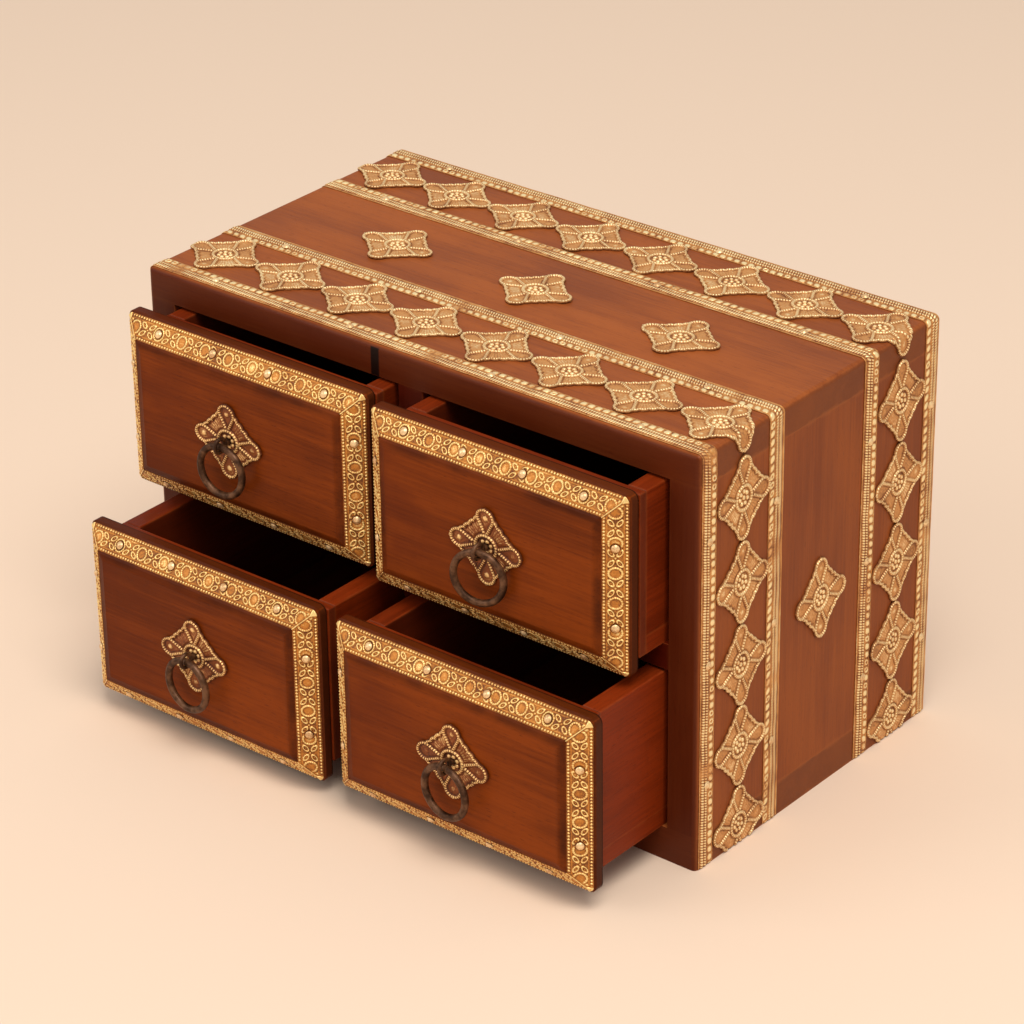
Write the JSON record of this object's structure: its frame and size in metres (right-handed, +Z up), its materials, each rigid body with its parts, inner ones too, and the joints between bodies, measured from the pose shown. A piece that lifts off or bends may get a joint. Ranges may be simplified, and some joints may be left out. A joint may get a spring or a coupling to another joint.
{
  "type": "small drawer chest",
  "caption": "Brass-bound wooden tabletop chest with small fielded drawers on ring handles, for paints, beads and craft parts.",
  "frame": {"origin": "middle of the underside of the case", "axes": "+X to the right along the front, +Y to the back, +Z up; the drawers open towards -Y"},
  "size_m": [0.2568, 0.1999, 0.1649],
  "materials": {
    "case_wood": "satin lacquer over reddish-brown hardwood",
    "face_wood": "satin lacquer over reddish-brown hardwood",
    "drawer_wood": "dark rubbed finish over reddish-brown hardwood",
    "brass": "embossed antique brass sheet, worn bright on the high spots",
    "iron": "dark oiled iron wire"
  },
  "bodies": {
    "case": {"top_board": "case_wood", "bottom_board": "case_wood", "left_side_board": "case_wood", "right_side_board": "case_wood", "back_panel": "case_wood", "shelf": "case_wood", "upper_divider": "case_wood", "lower_divider": "case_wood", "front_edge_strap": "brass", "front_inner_strap": "brass", "back_inner_strap": "brass", "back_edge_strap": "brass", "front_band_rosettes": "brass", "back_band_rosettes": "brass", "field_rosettes": "brass", "strap_nails": "brass"},
    "upper_left_drawer": {"upper_left_box_front": "drawer_wood", "upper_left_box_bottom": "drawer_wood", "upper_left_box_left": "drawer_wood", "upper_left_box_right": "drawer_wood", "upper_left_box_back": "drawer_wood", "upper_left_face_board": "face_wood", "upper_left_trim": "brass", "upper_left_trim_nails": "brass", "upper_left_pull_rosette": "brass", "upper_left_split_pin": "iron"},
    "upper_left_ring_handle": {"upper_left_ring": "iron"},
    "upper_right_drawer": {"upper_right_box_front": "drawer_wood", "upper_right_box_bottom": "drawer_wood", "upper_right_box_left": "drawer_wood", "upper_right_box_right": "drawer_wood", "upper_right_box_back": "drawer_wood", "upper_right_face_board": "face_wood", "upper_right_trim": "brass", "upper_right_trim_nails": "brass", "upper_right_pull_rosette": "brass", "upper_right_split_pin": "iron"},
    "upper_right_ring_handle": {"upper_right_ring": "iron"},
    "lower_left_drawer": {"lower_left_box_front": "drawer_wood", "lower_left_box_bottom": "drawer_wood", "lower_left_box_left": "drawer_wood", "lower_left_box_right": "drawer_wood", "lower_left_box_back": "drawer_wood", "lower_left_face_board": "face_wood", "lower_left_trim": "brass", "lower_left_trim_nails": "brass", "lower_left_pull_rosette": "brass", "lower_left_split_pin": "iron"},
    "lower_left_ring_handle": {"lower_left_ring": "iron"},
    "lower_right_drawer": {"lower_right_box_front": "drawer_wood", "lower_right_box_bottom": "drawer_wood", "lower_right_box_left": "drawer_wood", "lower_right_box_right": "drawer_wood", "lower_right_box_back": "drawer_wood", "lower_right_face_board": "face_wood", "lower_right_trim": "brass", "lower_right_trim_nails": "brass", "lower_right_pull_rosette": "brass", "lower_right_split_pin": "iron"},
    "lower_right_ring_handle": {"lower_right_ring": "iron"}
  },
  "joints": [
    {"name": "upper_left_slide", "type": "slide", "parent": "case", "child": "upper_left_drawer", "axis": [0, -1, 0], "range_m": [-0.0087, 0.101]},
    {"name": "upper_left_ring_swing", "type": "hinge", "parent": "upper_left_drawer", "child": "upper_left_ring_handle", "pos_m": [-0.0708, -0.0958, 0.116], "axis": [-1, 0, 0], "range_deg": [-5, 175]},
    {"name": "upper_right_slide", "type": "slide", "parent": "case", "child": "upper_right_drawer", "axis": [0, -1, 0], "range_m": [-0.013, 0.0967]},
    {"name": "upper_right_ring_swing", "type": "hinge", "parent": "upper_right_drawer", "child": "upper_right_ring_handle", "pos_m": [0.0541, -0.1001, 0.1157], "axis": [-1, 0, 0], "range_deg": [-5, 175]},
    {"name": "lower_left_slide", "type": "slide", "parent": "case", "child": "lower_left_drawer", "axis": [0, -1, 0], "range_m": [-0.038, 0.0717]},
    {"name": "lower_left_ring_swing", "type": "hinge", "parent": "lower_left_drawer", "child": "lower_left_ring_handle", "pos_m": [-0.06515, -0.1251, 0.0416], "axis": [-1, 0, 0], "range_deg": [-5, 175]},
    {"name": "lower_right_slide", "type": "slide", "parent": "case", "child": "lower_right_drawer", "axis": [0, -1, 0], "range_m": [-0.0382, 0.0715]},
    {"name": "lower_right_ring_swing", "type": "hinge", "parent": "lower_right_drawer", "child": "lower_right_ring_handle", "pos_m": [0.05825, -0.1253, 0.043], "axis": [-1, 0, 0], "range_deg": [-5, 175]}
  ]
}
